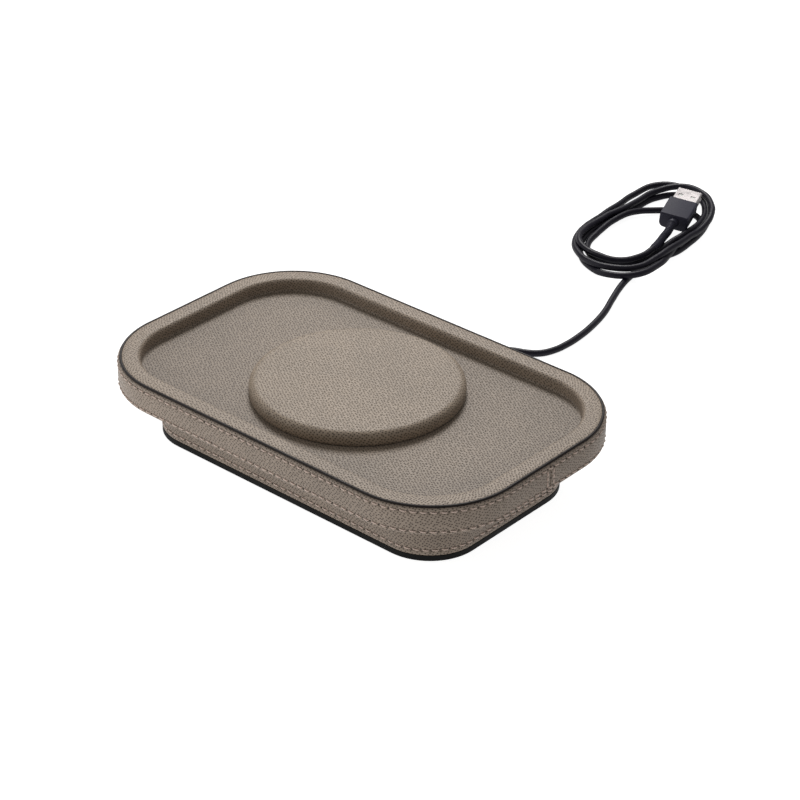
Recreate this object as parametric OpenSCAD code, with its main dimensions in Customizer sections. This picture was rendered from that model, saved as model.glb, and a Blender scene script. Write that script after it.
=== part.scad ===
// Wireless charging pad: a leather-covered tray on a narrower plinth, with a round
// charging puck standing in its well and a thin USB lead that ends in a loose coil.
// Frame: +X along the long side, +Y to the rear where the lead leaves, +Z up.
// The origin is the centre of the pad's footprint, on the surface it stands on.

/* [Tray] */
// Length of the tray
tray_l = 192; // [190:0.5:198]
// Width of the tray
tray_w = 122; // [121:0.5:128]
// Height of the rim above the surface
rim_z = 35; // [34.5:0.1:35.2]
// Radius of the tray's corners
corner_r = 38; // [36:0.5:40]
// Height of the upper band
band_h = 12; // [11:0.1:12.2]
// Distance from the outer edge to the well's wall
rim_w = 8.4; // [7.6:0.1:9]
// Depth of the well below the rim
well_d = 5.4; // [5.2:0.1:6.4]
// Radius of the rim's inner edge
rim_r = 1.5; // [1.4:0.1:2]
// How far the padded side band stands out past the rim
band_out = 0.9; // [0.7:0.1:1.1]

/* [Plinth] */
// Distance that the plinth stands in from the tray's edge
plinth_inset = 16; // [15:0.1:17]
// Top of the black base plate
plate_z = 2.5; // [2.2:0.1:3]
// Height of the rubber feet below the base plate
foot_gap = 0.2; // [0.2:0.1:0.6]

/* [Puck] */
// Radius of the charging puck
puck_r = 43.5; // [43:0.1:45]
// Height of the puck's flat top above the surface
puck_z = 35.6; // [35.4:0.1:36.2]
// Radius of the puck's rounded edge
puck_edge_r = 3; // [2.5:0.1:3]

/* [Leather] */
// Thickness of the leather
skin_t = 1.2; // [1:0.1:1.3]
// Thickness of the sewing thread
thread_d = 0.6; // [0.5:0.05:0.7]

/* [Lead] */
// Diameter of the lead
cord_d = 3.1; // [2.8:0.1:3.2]
// Height of the lead's exit above the surface
exit_z = 7.5; // [7.2:0.1:8]

/* [Plug] */
// Length of the plug's moulded body
plug_l = 17.5; // [17:0.5:19]
// Width of the plug's moulded body
plug_w = 14; // [13.8:0.1:14.4]
// Height of the plug's moulded body
plug_h = 7.8; // [7.4:0.1:8]
// Length of the plug's steel shell
shell_l = 12; // [11.75:0.05:12.1]
// Width of the plug's steel shell
shell_w = 12; // [11.9:0.05:12.1]
// Height of the plug's steel shell
shell_h = 4.5; // [4.4:0.05:4.6]
// Height of the shell's middle above the body's middle
shell_rise = 0.5; // [0:0.1:0.6]

/* [Hidden] */
$fn = 96;
eps = 0.01;

// Levels
band_z = rim_z - band_h;
floor_z = rim_z - well_d;
frame_z = band_z + 0.8;
frame_top = rim_z - skin_t;
frame_floor = floor_z - skin_t;

// Plinth outline
plinth_l = tray_l - 2 * plinth_inset;
plinth_w = tray_w - 2 * plinth_inset;
plinth_r = corner_r - plinth_inset;
plinth_rear = plinth_w / 2;

// Edge bead and the three rows of stitching, as heights above the surface
bead_w = 0.9;
bead_h = 0.7;
bead_r = 0.3;
row_top = rim_z - 2.3;
row_low = band_z + 1.3;
row_plinth = 5;
seam_rows = [-0.1, 3.5];

// Charging module
lid_r = puck_r - 1.9;
lid_z = puck_z - 2 * skin_t + 0.2;
lid_t = 1.6;
tub_r = 34;
tub_wall = 1.8;
tub_z = 10;
tub_floor = 2;
flange_r = 38;
flange_t = 2;
boss_at = 27;
boss_r = 3;
module_screw_r = 1;
board_z = 18;
board_t = 1.6;
board_l = 40;
board_w = 34;
carrier_top = 28.9;
ferrite_r = 25.5;
ferrite_t = 1.4;
coil_z = carrier_top + ferrite_t;
coil_wire_r = 0.55;
coil_turns = 10;
coil_inner_r = 11;

// Cavity and fixings of the plinth
cavity_l = 134;
cavity_w = 64;
cavity_corner_r = 4;
cavity_r = 39;
plate_screws = [[-72.4, 0], [72.4, 0], [-52, -37.4], [52, -37.4], [-52, 37.4], [52, 37.4]];
frame_screws_at = [[-72.4, -14], [72.4, -14], [-72.4, 14], [72.4, 14]];
feet_at = [[-60, -28], [60, -28], [-60, 28], [60, 28]];
foot_r = 6;
foot_t = 1.1;

// Gland at the rear of the plinth
gland_r = 3;
gland_flange_r = 4.6;
gland_out = 12;
gland_tip_r = 2;
exit_y = plinth_rear + gland_out;
lead_turn_y = 22;

// Route of the lead from the gland to the coil, chosen by hand, in millimetres
route = [
    [0, 57, 7.5], [-0.2, 62, 7.2], [-1.5, 68, 5.6], [-4, 74, 3.4], [-7.5, 80, 1.9],
    [-11, 86, 1.55], [-13.5, 92, 1.55], [-13.5, 98, 1.55], [-10.5, 103.5, 1.55],
    [-5.5, 107.3, 1.55], [-0.5, 109.5, 1.55], [4, 113, 1.55], [6.8, 119, 1.55],
    [7.8, 127, 1.55], [7.4, 137, 1.55], [5.5, 149, 1.55], [2, 162, 1.55], [-3, 174.5, 1.55],
    [-7.5, 186.5, 1.55], [-10, 195.5, 1.55]
];

// Loose oval coil: centre, heading of its long axis, half sizes and height
coil_at = [-33, 239];
coil_turn = 102;
coil_half_l = 55;
coil_half_w = 27;
coil_band = 14;
coil_h = 2.7;

// Plug lying on the coil: the middle of its rear face, the heading of its nose from
// +X, and how far it is tipped nose up and rolled to one side
plug_at = [-22.1, 246.8, 7.5];
plug_turn = 110.3;
plug_pitch = 2.5;
plug_roll = 6;
collar_l = 2.5;
collar_r = 2.4;
nose = [cos(plug_turn) * cos(plug_pitch), sin(plug_turn) * cos(plug_pitch), sin(plug_pitch)];

// Route of the last stretch, from the plug's collar down to the coil
tail_start = plug_at - nose * collar_l;
tail_route = [
    tail_start, tail_start - nose * 3, [-19, 237, 5.8], [-17, 231, 5],
    [-15, 226, 3.8], [-13.5, 221.5, 2.4]
];

// ---- Shapes that repeat ----

// Rounded rectangle
module outline(l, w, r) {
    square([l - 2 * r, w], center = true);
    square([l, w - 2 * r], center = true);
    for (x = [-1, 1], y = [-1, 1])
        translate([x * (l / 2 - r), y * (w / 2 - r)]) circle(r);
}

// Rounded block standing on height z
module block(l, w, r, z, h) {
    translate([0, 0, z]) linear_extrude(h) outline(l, w, r);
}

// The tray's and the plinth's outlines, moved in by a distance
module tray_block(inset, z, h) {
    block(tray_l - 2 * inset, tray_w - 2 * inset, corner_r - inset, z, h);
}
module plinth_solid(inset, z, h) {
    block(plinth_l - 2 * inset, plinth_w - 2 * inset, plinth_r - inset, z, h);
}

// Sweeps a profile round a rounded rectangle. Profile x is the distance in from the
// outline and profile y is the height.
module swept_side(half, run) {
    rotate([90, 0, 0]) linear_extrude(run, center = true)
        translate([half, 0]) mirror([1, 0]) children();
}
module swept(l, w, r) {
    for (turn = [0, 180]) {
        rotate(turn) swept_side(l / 2, w - 2 * r) children();
        rotate(turn + 90) swept_side(w / 2, l - 2 * r) children();
    }
    for (k = [0:3]) {
        sx = (k == 0 || k == 3) ? 1 : -1;
        sy = (k < 2) ? 1 : -1;
        translate([sx * (l / 2 - r), sy * (w / 2 - r), 0]) rotate(90 * k)
            rotate_extrude(angle = 90) translate([r, 0]) mirror([1, 0]) children();
    }
}
module tray_swept() { swept(tray_l, tray_w, corner_r) children(); }
module plinth_swept() { swept(plinth_l, plinth_w, plinth_r) children(); }

// Flat-bottomed groove profile, and the thread that lies in it, in a face that stands
// out by a distance
module groove(z, out) {
    translate([-1 - out, z - thread_d / 2]) square([1 + thread_d / 2, thread_d]);
}
module thread_line(z, out) {
    translate([-thread_d / 4 - out, z - thread_d / 2]) square([thread_d * 0.75, thread_d]);
}

// Upright tube, disc and screw
module ring(r_out, r_in, z, h) {
    translate([0, 0, z]) linear_extrude(h) difference() {
        circle(r_out);
        circle(r_in);
    }
}
module disc(r, z, h) { translate([0, 0, z]) cylinder(h = h, r = r); }
module screw(head_r, head_h, shank_r, length) {
    cylinder(h = head_h, r = head_r);
    cylinder(h = length, r = shank_r);
}
module countersunk(head_r, shank_r, length) {
    cylinder(h = head_r - shank_r, r1 = head_r, r2 = shank_r);
    cylinder(h = length, r = shank_r);
}
module at_each(places) { for (p = places) translate([p[0], p[1], 0]) children(); }

// Ring of points about a route point, square to the route there
function unit(v) = v / norm(v);
function heading(path, i) =
    unit(path[min(i + 1, len(path) - 1)] - path[max(i - 1, 0)]);
function side_of(t) = unit(cross(t, [0, 0, 1]));
function ring_points(path, i, r, sides) =
    let (t = heading(path, i), s = side_of(t), u = cross(s, t))
    [for (k = [0:sides - 1]) let (a = 360 * (k + 0.5) / sides)
        path[i] + r * (cos(a) * s + sin(a) * u)];
module cord_tube(path, r, sides = 8) {
    points = [for (i = [0:len(path) - 1]) each ring_points(path, i, r, sides)];
    walls = [for (i = [0:len(path) - 2], k = [0:sides - 1])
        let (a = i * sides, b = (k + 1) % sides)
        [a + k, a + b, a + sides + b, a + sides + k]];
    first = [for (k = [sides - 1:-1:0]) k];
    last = [for (k = [0:sides - 1]) (len(path) - 1) * sides + k];
    polyhedron(points = points, faces = concat([first], walls, [last]), convexity = 4);
}

// The plug's own frame: rear face at x = 0, nose along +X
module at_plug() {
    translate(plug_at) rotate([0, 0, plug_turn]) rotate([plug_roll, -plug_pitch, 0]) children();
}
module plug_section(w, h, r) { outline(w, h, r); }
module along_plug(x, length) {
    translate([x, 0, 0]) rotate([90, 0, 90]) linear_extrude(length) children();
}

// ---- Tray ----

module tray_frame() {
    color("burlywood") difference() {
        tray_block(skin_t, frame_z, frame_top - frame_z);
        tray_block(rim_w - skin_t, frame_floor, well_d + 5);
        disc(tub_r + 0.4, frame_z - 1, well_d + 20);
        at_each(frame_screws_at) disc(1.5, frame_z - 1, 3.7);
    }
}

module rim_profile() {
    wall = rim_w - skin_t;
    translate([bead_w, frame_top]) square([rim_w - rim_r - bead_w, skin_t]);
    difference() {
        intersection() {
            translate([rim_w - rim_r, rim_z - rim_r]) square(rim_r);
            translate([rim_w - rim_r, rim_z - rim_r]) circle(rim_r);
        }
        translate([rim_w - rim_r - 1, rim_z - rim_r - 1])
            square([1 + rim_r - skin_t, 1 + rim_r - skin_t]);
    }
    translate([wall, frame_floor]) square([skin_t, rim_z - rim_r - frame_floor]);
    translate([rim_w, frame_floor]) square([4, skin_t]);
    translate([rim_w, floor_z]) difference() {
        square(1);
        translate([1, 1]) circle(1);
    }
}

module well_lining() {
    color("#aa9e8e") {
        tray_swept() rim_profile();
        difference() {
            tray_block(rim_w + 2, frame_floor, skin_t);
            disc(tub_r + 0.4, frame_floor - 1, 4);
        }
    }
}

module side_band() {
    top = rim_z - bead_h;
    color("#82786c") tray_swept() difference() {
        polygon([
            [skin_t, band_z], [0.4 - band_out, band_z], [-band_out, band_z + 0.4],
            [-band_out, top - band_out + 0.1], [-0.1, top],
            [bead_w, top], [bead_w, frame_top], [skin_t, frame_top]
        ]);
        groove(row_top, band_out);
        groove(row_low, band_out);
    }
}

module edge_bead() {
    reach = 0.15;
    color("#2b2a29") tray_swept() {
        translate([-reach + bead_r, rim_z - bead_h])
            square([bead_w + reach - bead_r, bead_h + reach - bead_r]);
        translate([-reach, rim_z - bead_h]) square([bead_r, bead_h + reach - bead_r]);
        translate([-reach + bead_r, rim_z - bead_h])
            square([bead_w + reach - 2 * bead_r, bead_h + reach]);
        for (x = [bead_r - reach, bead_w - bead_r])
            translate([x, rim_z + reach - bead_r]) circle(bead_r, $fn = 32);
    }
}

module upper_thread() { color("#bfab98") tray_swept() thread_line(row_top, band_out); }
module lower_thread() { color("#bfab98") tray_swept() thread_line(row_low, band_out); }

// Two upright rows beside the butt seam near the middle of the +X end
module seam_thread() {
    color("#bfab98") for (y = seam_rows)
        translate([tray_l / 2 + band_out, y - thread_d / 4, row_low + 1.2])
            cube([thread_d / 4, thread_d / 2, row_top - row_low - 2.4]);
}

module underside_lining() {
    color("#4c463e") difference() {
        tray_block(skin_t, band_z, frame_z - band_z);
        plinth_solid(0, band_z - 1, 5);
    }
}

// ---- Plinth ----

module plinth_block() {
    color("tan") difference() {
        plinth_solid(skin_t, plate_z, frame_z - plate_z);
        block(cavity_l, cavity_w, cavity_corner_r, plate_z - 1, 40);
        disc(cavity_r, plate_z - 1, 40);
        at_each(plate_screws) disc(1.2, plate_z - 1, 10);
        at_each(frame_screws_at) {
            disc(1.7, plate_z - 1, 40);
            disc(3.6, plate_z - 1, 9);
        }
        translate([0, 0, exit_z]) rotate([-90, 0, 0]) cylinder(h = 80, r = gland_r);
    }
}

module plinth_band() {
    color("#756b60") difference() {
        plinth_swept() difference() {
            translate([0, plate_z]) square([skin_t, frame_z - plate_z]);
            groove(row_plinth, 0);
        }
        translate([0, 0, exit_z]) rotate([-90, 0, 0]) cylinder(h = 80, r = gland_r);
    }
}

// The plinth's row of stitching stops either side of the lead's gland
module plinth_thread() {
    color("#bfab98") difference() {
        plinth_swept() thread_line(row_plinth, 0);
        translate([-gland_flange_r - 0.4, 0, 0]) cube([2 * gland_flange_r + 0.8, 80, 30]);
    }
}

module base_plate() {
    color("#161616") difference() {
        plinth_solid(0, foot_gap, plate_z - foot_gap);
        at_each(feet_at) disc(foot_r, foot_gap - 1, 1 + foot_t - foot_gap);
        at_each(plate_screws) {
            disc(1.3, 0, 10);
            translate([0, 0, foot_gap - eps]) cylinder(h = 1.3, r1 = 2.6, r2 = 1.3);
        }
        at_each([[-7, 28], [7, 28]]) disc(0.8, 1.4, 10);
    }
}

module foot_pads() { color("#0c0c0c") at_each(feet_at) disc(foot_r, 0, foot_t); }

module base_screws() {
    color("silver") at_each(plate_screws) translate([0, 0, foot_gap])
        countersunk(2.5, 1.2, 9.5);
}

module frame_screws() {
    color("silver") at_each(frame_screws_at) translate([0, 0, plate_z + 6])
        screw(3.3, 2, 1.5, 17.5);
}

// ---- Puck and charging module ----

module puck_cover() {
    r = puck_r - puck_edge_r;
    z = puck_z - puck_edge_r;
    color("#9a8d7c") rotate_extrude() {
        translate([0, puck_z - skin_t]) square([r, skin_t]);
        translate([puck_r - skin_t, floor_z]) square([skin_t, z - floor_z]);
        difference() {
            intersection() {
                translate([r, z]) square(puck_edge_r);
                translate([r, z]) circle(puck_edge_r);
            }
            translate([r, z]) circle(puck_edge_r - skin_t);
        }
    }
}

module puck_pad() {
    color("dimgray") disc(puck_r - puck_edge_r, lid_z, puck_z - skin_t - lid_z);
}

module charger_lid() {
    color("#222222") {
        disc(lid_r, lid_z - lid_t, lid_t);
        ring(lid_r, lid_r - 1.8, floor_z, lid_z - lid_t - floor_z);
        at_each([for (k = [0:3]) boss_at * [cos(90 * k + 45), sin(90 * k + 45)]])
            ring(boss_r, module_screw_r, tub_z + tub_floor, lid_z - lid_t - tub_z - tub_floor);
    }
}

module charger_tub() {
    wall_top = lid_z - lid_t;
    color("#2c2c2c") difference() {
        union() {
            ring(tub_r, tub_r - tub_wall, tub_z, wall_top - tub_z);
            disc(tub_r - tub_wall / 2, tub_z, tub_floor);
            ring(flange_r, tub_r - tub_wall / 2, frame_z - flange_t, flange_t);
        }
        at_each([for (k = [0:3]) boss_at * [cos(90 * k + 45), sin(90 * k + 45)]])
            disc(1.2, tub_z - 1, tub_floor + 2);
        translate([0, lead_turn_y, 0]) disc(1.8, tub_z - 1, tub_floor + 2);
    }
}

module module_screws() {
    color("silver")
        at_each([for (k = [0:3]) boss_at * [cos(90 * k + 45), sin(90 * k + 45)]])
            translate([0, 0, tub_z - 1.4]) screw(2, 1.4, module_screw_r, 12);
}

// Shelf that holds the ferrite and the coil under the lid
module coil_carrier() {
    color("#e8e4da") difference() {
        disc(tub_r - tub_wall - 0.2, carrier_top - 1.5, 1.5);
        at_each([for (k = [0:3]) boss_at * [cos(90 * k + 45), sin(90 * k + 45)]])
            disc(boss_r + 0.3, carrier_top - 3, 5);
        at_each([[-28, -2], [-28, 2]]) disc(0.9, carrier_top - 3, 5);
        disc(1, carrier_top - 3, 5);
    }
}

module ferrite_disc() { color("#3a3d40") ring(ferrite_r, 1, carrier_top, ferrite_t); }

// Flat winding, drawn as one closed turn beside the next
module transmit_coil() {
    color("#b87333") translate([0, 0, coil_z + coil_wire_r]) rotate_extrude()
        for (k = [0:coil_turns - 1])
            translate([coil_inner_r + 1.2 * k, 0]) circle(coil_wire_r, $fn = 24);
}

module coil_leads() {
    reach = coil_inner_r + 1.2 * (coil_turns - 1) + coil_wire_r;
    z = coil_z + coil_wire_r;
    color("#b5651d") for (y = [-2, 2]) {
        translate([-28, y, board_z + board_t]) cylinder(h = z - board_z - board_t, r = 0.5);
        translate([-28, y, z]) sphere(0.5, $fn = 32);
        translate([-28, y, z]) rotate([0, 90, 0]) cylinder(h = 28 - reach, r = 0.5);
    }
}

module coil_thermistor() {
    color("#20304a") {
        disc(1.6, coil_z, 1.1);
        disc(0.7, board_z + board_t, coil_z - board_z - board_t);
    }
}

module circuit_board() {
    color("#1f5a34") difference() {
        translate([0, 0, board_z + board_t / 2]) cube([board_l + 18, board_w, board_t],
            center = true);
        at_each([for (k = [0:3]) boss_at * [cos(90 * k + 45), sin(90 * k + 45)]])
            disc(boss_r + 0.4, board_z - 1, 5);
    }
}

module on_board(x, y, l, w, h) {
    translate([x - l / 2, y - w / 2, board_z + board_t]) cube([l, w, h]);
}
module controller_chip() { color("#111111") on_board(8, 6, 7, 7, 0.9); }
module power_inductor() { color("#444444") on_board(16, -9, 7, 7, 3.2); }
module resonance_capacitors() {
    color("#c9b26b") for (k = [0:3]) on_board(-16 + 6.5 * k, -11, 5.7, 5, 2.5);
}
module driver_transistors() {
    color("#1a1a1a") for (x = [-15, -7], y = [2, 9]) on_board(x, y, 5, 5, 1);
}

module board_connector() {
    color("ivory") translate([-4.5, lead_turn_y - 9, board_z - 5]) difference() {
        cube([9, 4 - eps, 5]);
        translate([1, -1, 1]) cube([7, 3, 3]);
    }
    color("ivory") translate([-4.5, lead_turn_y - 5, board_z - 5]) cube([9, 6.5, 1.5]);
}

// The lead inside the plinth, from the gland's tip to the connector
module inner_lead() {
    r = cord_d / 2;
    color("#1b1b1d") {
        translate([0, lead_turn_y, exit_z]) rotate([-90, 0, 0])
            cylinder(h = exit_y - lead_turn_y, r = r);
        translate([0, lead_turn_y, exit_z]) sphere(r, $fn = 48);
        translate([0, lead_turn_y, exit_z]) cylinder(h = board_z - 5 - exit_z, r = r);
    }
}

// Saddle that grips the lead, screwed to the base plate
module lead_clamp() {
    color("#2a2a2a") difference() {
        translate([-10, 25, plate_z]) cube([20, 6, exit_z + 3 - plate_z]);
        translate([0, 20, exit_z]) rotate([-90, 0, 0]) cylinder(h = 20, r = cord_d / 2);
        at_each([[-7, 28], [7, 28]]) disc(0.9, 0, 30);
    }
}
module clamp_screws() {
    head_z = exit_z + 3;
    color("silver") at_each([[-7, 28], [7, 28]]) {
        disc(1.8, head_z, 1.2);
        disc(0.8, 1.6, head_z - 1.6);
    }
}

// ---- Lead and plug ----

module cord_gland() {
    body_y = 38.6;
    color("#19191b") translate([0, 0, exit_z]) rotate([-90, 0, 0]) difference() {
        union() {
            translate([0, 0, body_y - 2]) cylinder(h = 2, r = 4.2);
            translate([0, 0, body_y]) cylinder(h = plinth_rear - body_y, r = gland_r);
            translate([0, 0, plinth_rear]) cylinder(h = 1.4, r = gland_flange_r);
            translate([0, 0, plinth_rear + 1.4])
                cylinder(h = gland_out - 1.4, r1 = gland_r, r2 = gland_tip_r);
        }
        translate([0, 0, body_y - 3]) cylinder(h = 40, r = cord_d / 2);
    }
}

module cord_run() { color("#17171a") cord_tube(route, cord_d / 2); }
module cord_tail() { color("#17171a") cord_tube(tail_route, cord_d / 2); }

// Outer shape of the loose coil: an oval band with round ends
module cord_coil() {
    color("#17171a") translate([coil_at[0], coil_at[1], 0]) rotate(coil_turn)
        linear_extrude(coil_h) difference() {
            outline(2 * coil_half_l, 2 * coil_half_w, coil_half_w - eps);
            outline(2 * (coil_half_l - coil_band), 2 * (coil_half_w - coil_band),
                coil_half_w - coil_band - eps);
        }
}

// Flat top with small corners, and well-rounded lower corners
module plug_body() {
    low_r = 2.6;
    top_r = 0.8;
    color("#3a3a42") at_plug() along_plug(0, plug_l) {
        translate([-plug_w / 2, -plug_h / 2 + low_r]) square([plug_w, plug_h - low_r - top_r]);
        translate([-plug_w / 2 + top_r, 0]) square([plug_w - 2 * top_r, plug_h / 2]);
        translate([-plug_w / 2 + low_r, -plug_h / 2]) square([plug_w - 2 * low_r, plug_h / 2]);
        for (x = [-1, 1]) {
            translate([x * (plug_w / 2 - low_r), -plug_h / 2 + low_r]) circle(low_r);
            translate([x * (plug_w / 2 - top_r), plug_h / 2 - top_r]) circle(top_r);
        }
    }
}
module plug_collar() {
    color("#2e2e34") at_plug() rotate([0, -90, 0]) cylinder(h = collar_l, r = collar_r);
}
module plug_shell() {
    wall = 0.3;
    color("silver") at_plug() translate([0, 0, shell_rise]) difference() {
        along_plug(plug_l, shell_l) plug_section(shell_w, shell_h, 0.6);
        along_plug(plug_l - 1, shell_l + 2)
            plug_section(shell_w - 2 * wall, shell_h - 2 * wall, 0.3);
        for (y = [-3, 3]) translate([plug_l + 4.4, y - 1.1, -5]) cube([2.2, 2.2, 10]);
    }
}
module plug_tongue() {
    color("#e6e6e6") at_plug()
        translate([plug_l, -5.6, shell_rise + shell_h / 2 - 2.2]) cube([shell_l - 0.7, 11.2, 1.9]);
}
module plug_contacts() {
    color("gold") at_plug() for (y = [-3.5, -1, 1, 3.5])
        translate([plug_l + 2, y - 0.5, shell_rise + shell_h / 2 - 2.4]) cube([8, 1, 0.2]);
}

tray_frame();
well_lining();
side_band();
edge_bead();
upper_thread();
lower_thread();
seam_thread();
underside_lining();
plinth_block();
plinth_band();
plinth_thread();
base_plate();
foot_pads();
base_screws();
frame_screws();
puck_cover();
puck_pad();
charger_lid();
charger_tub();
module_screws();
coil_carrier();
ferrite_disc();
transmit_coil();
coil_leads();
coil_thermistor();
circuit_board();
controller_chip();
power_inductor();
resonance_capacitors();
driver_transistors();
board_connector();
inner_lead();
lead_clamp();
clamp_screws();
cord_gland();
cord_run();
cord_coil();
cord_tail();
plug_body();
plug_collar();
plug_shell();
plug_tongue();
plug_contacts();
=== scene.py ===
"""Looks of the wireless charging pad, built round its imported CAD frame.

Lengths are in millimetres until an object is made, and in metres from there on. The floor and the
lights are given in metres.
"""

import math
import random

import bpy
import numpy as np
from mathutils import Matrix, Vector, geometry


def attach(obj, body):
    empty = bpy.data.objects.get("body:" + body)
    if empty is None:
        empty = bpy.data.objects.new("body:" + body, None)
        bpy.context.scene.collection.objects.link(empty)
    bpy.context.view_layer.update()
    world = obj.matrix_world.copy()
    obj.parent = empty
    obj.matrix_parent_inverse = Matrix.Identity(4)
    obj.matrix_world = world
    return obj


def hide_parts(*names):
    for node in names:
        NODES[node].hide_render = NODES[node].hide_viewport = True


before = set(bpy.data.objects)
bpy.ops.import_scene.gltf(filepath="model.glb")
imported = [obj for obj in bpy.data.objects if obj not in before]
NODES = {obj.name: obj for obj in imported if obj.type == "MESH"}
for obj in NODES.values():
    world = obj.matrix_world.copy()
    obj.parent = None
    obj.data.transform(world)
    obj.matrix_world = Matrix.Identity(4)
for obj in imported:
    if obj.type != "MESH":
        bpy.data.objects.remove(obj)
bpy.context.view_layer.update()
MM = 0.001
PI = math.pi

# ---- Sizes, which repeat the CAD source's ----

TRAY = (192.0, 122.0, 38.0)  # length, width, corner radius
PLINTH = (160.0, 90.0, 22.0)
PLATE_Z = 2.5  # top of the base plate
BAND_Z = 23.0  # foot of the tray's side band
BAND_OUT = 0.9  # how far the band stands out past the rim
RIM_Z = 35.0
RIM_W = 8.4
RIM_R = 1.7  # rounding of the rim's inner edge, a little softer than the CAD's
FLOOR_Z = 29.6  # well floor
PUCK_R = 43.5
PUCK_Z = 35.6
EXIT = (0.0, 57.0, 7.5)  # where the cord leaves the gland
CORD_D = 3.1
PLUG_AT = Vector((-22.1, 246.8, 7.5))
PLUG_TURN, PLUG_PITCH, PLUG_ROLL = 110.3, 2.5, 6.0
PLUG_SIZE = (17.5, 14.0, 7.8)  # length, width, height of the moulded body

# ---- Sewing: heights of the rows, places of the seam and its rows, and the stitches ----

ROW_TOP, ROW_LOW, ROW_PLINTH = 32.7, 24.3, 5.0
SEAM_AT = 1.7  # along the +X side, from its middle
SEAM_ROW = 1.8  # from the seam to each of its rows
SEAM_STITCH_Z = (26.2, 28.5, 30.8)
TRAY_STITCHES = 150
PLINTH_STITCHES = 123
GLAND_CLEAR = 6.5  # no stitch is nearer than this to the gland
STITCH_RINGS, STITCH_SIDES = 9, 8
PER_STITCH = 6  # points of the leather's mesh from one stitch to the next

# ---- Painted shades and painted highlights of the leather, as parts of its brightness ----

GROOVE_SHADE = -0.06  # along a row of stitching
HOLE_SHADE = -0.55  # at a needle hole
SEAM_SHADE = -0.4
# painted highlight along the rounded foot of the side band
BAND_FOOT_HIGHLIGHT = 0.05
WALL_FOOT_SHADE = -0.22
FLOOR_SHADE = -0.16  # all over the well floor
FLOOR_EDGE_SHADE = -0.12  # more of it near the wall
PUCK_FOOT_SHADE = -0.6
# painted highlight on the puck's rounded edge
PUCK_EDGE_HIGHLIGHT = 0.05
SHADE_LIMITS = (-0.85, 0.3)

# ---- Grain of the leather ----

UV_UNIT = 100.0  # millimetres in one unit of the UV map
GRAIN_PITCH = 1.25
GRAIN_DEPTH = 0.12
GRAIN_LOOSE = 0.45  # 0 is a regular grain, 1 a random one
GRAIN_ROUGH = (0.62, 0.5)  # roughness in the pits and on the pebbles

AROUND = 480  # points round the bead and the lining
FLOOR_STEPS = (1.1, 2, 3.5, 6, 9, 13, 18, 23, 28)  # rings of the well floor, from the wall


# ---- Camera ----


def make_camera(azimuth, elevation, roll, target, distance, lens):
    """A camera that looks at target; the angles are in degrees."""
    a, e, r = (math.radians(x) for x in (azimuth, elevation, roll))
    back = Vector((math.sin(a) * math.cos(e), -math.cos(a) * math.cos(e), math.sin(e)))
    right = Vector((0, 0, 1)).cross(back).normalized()
    up = back.cross(right)
    x = right * math.cos(r) + up * math.sin(r)
    y = up * math.cos(r) - right * math.sin(r)
    data = bpy.data.cameras.new("camera")
    data.sensor_width, data.lens = 36.0, lens
    data.clip_start, data.clip_end = 0.01, 20.0
    camera = bpy.data.objects.new("camera", data)
    pose = Matrix((x, y, back)).transposed().to_4x4()
    pose.translation = (Vector(target) + back * distance) * MM
    camera.matrix_world = pose
    bpy.context.scene.collection.objects.link(camera)
    bpy.context.scene.camera = camera


make_camera(
    azimuth=41.077, elevation=30.235, roll=0.591,
    target=(-15.946, 44.078, 0.0), distance=1037.54, lens=110.97,
)


# ---- Materials ----


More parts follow.
